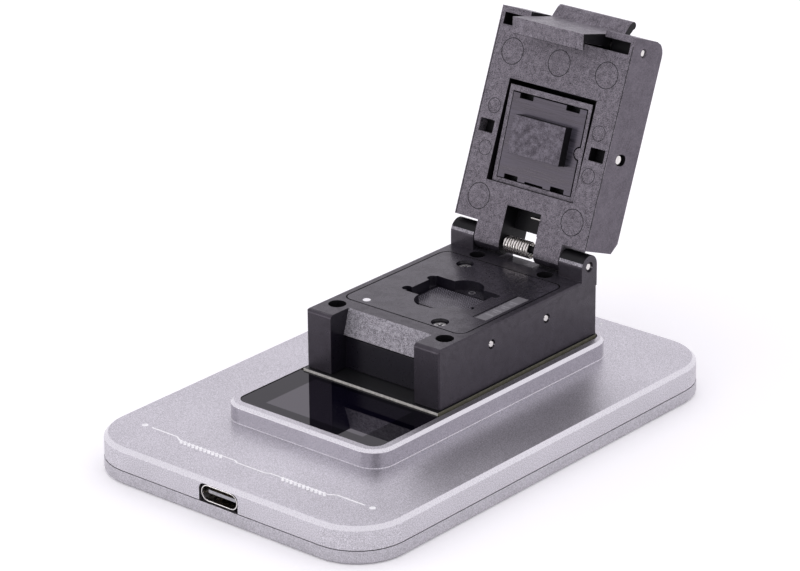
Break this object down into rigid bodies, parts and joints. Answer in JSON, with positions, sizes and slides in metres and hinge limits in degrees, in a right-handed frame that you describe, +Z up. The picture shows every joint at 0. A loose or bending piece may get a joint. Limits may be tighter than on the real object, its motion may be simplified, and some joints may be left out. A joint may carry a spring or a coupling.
{
  "type": "usb microcontroller programmer",
  "caption": "Flat desktop chip programmer: silver case with a USB-C inlet, a raised display and a black clamshell test socket whose sprung lid latches over a chip pocket.",
  "frame": {"origin": "centre of the case's flat underside, on the bench plane", "axes": "+X to the right, +Y from the USB-C inlet towards the hinge, +Z up out of the underside"},
  "size_m": [0.0702, 0.1126, 0.0699],
  "materials": {
    "silver_aluminium": "fine bead-blasted and anodised, bright machined chamfers",
    "bright_steel": "bright nickel-plated",
    "charcoal_plastic": "mottled glass-filled moulding",
    "satin_charcoal": "smooth satin machined plastic",
    "black_plastic": "plain moulded",
    "black_glass": "polished opaque black cover glass",
    "tan_board": "bare glass-epoxy edge"
  },
  "bodies": {
    "case": {"bottom_cover": "silver_aluminium", "top_cover": "silver_aluminium", "case_screw_1": "bright_steel", "case_screw_2": "bright_steel", "case_screw_3": "bright_steel", "case_screw_4": "bright_steel", "usb_c_shell": "bright_steel", "usb_c_tongue": "black_plastic", "display_glass": "black_glass", "lcd_module": "black_plastic", "main_board": "tan_board", "socket_board": "tan_board", "board_header_left": "black_plastic", "board_header_right": "black_plastic", "socket_base": "charcoal_plastic", "contact_block": "black_plastic", "socket_screw_1": "bright_steel", "socket_screw_2": "bright_steel", "socket_screw_3": "bright_steel", "socket_screw_4": "bright_steel", "dowel_pin_1": "bright_steel", "dowel_pin_2": "bright_steel", "dowel_pin_3": "bright_steel", "dowel_pin_4": "bright_steel", "plate_screw_front": "bright_steel", "plate_screw_rear": "bright_steel", "hinge_pin": "bright_steel"},
    "floating_plate": {"adapter_plate": "satin_charcoal", "plate_spring_1": "bright_steel", "plate_spring_2": "bright_steel", "plate_spring_3": "bright_steel", "plate_spring_4": "bright_steel"},
    "lid": {"lid": "charcoal_plastic", "hinge_spring": "bright_steel", "latch_pin": "bright_steel", "latch_spring": "bright_steel"},
    "latch": {"latch": "charcoal_plastic"},
    "pressure_carrier": {"pressure_pin": "bright_steel", "pressure_spring_left": "bright_steel", "pressure_spring_right": "bright_steel"},
    "pressure_pad": {"pressure_frame": "charcoal_plastic", "pusher_insert": "satin_charcoal"}
  },
  "joints": [
    {"name": "lid_hinge", "type": "hinge", "parent": "case", "child": "lid", "pos_m": [0, 0.0357, 0.026], "axis": [1, 0, 0], "range_deg": [0, 111], "stiffness_Nm_per_rad": 0.002, "springref_deg": -57.3},
    {"name": "latch_pivot", "type": "hinge", "parent": "lid", "child": "latch", "pos_m": [0, 0.05209, 0.06521], "axis": [-1, 0, 0], "range_deg": [0, 10], "stiffness_Nm_per_rad": 0.003, "springref_deg": -11.46},
    {"name": "pressure_slide", "type": "slide", "parent": "lid", "child": "pressure_carrier", "axis": [0, 0.9336, -0.3584], "range_m": [0, 0.0008], "stiffness_N_per_m": 2000, "springref_m": -0.0005},
    {"name": "pressure_tilt", "type": "hinge", "parent": "pressure_carrier", "child": "pressure_pad", "pos_m": [0, 0.04467, 0.04546], "axis": [-1, 0, 0], "range_deg": [0, 6], "stiffness_Nm_per_rad": 0.005, "springref_deg": -5.73},
    {"name": "plate_press", "type": "slide", "parent": "case", "child": "floating_plate", "axis": [0, 0, -1], "range_m": [0, 0.0006], "stiffness_N_per_m": 3000, "springref_m": -0.0005}
  ]
}
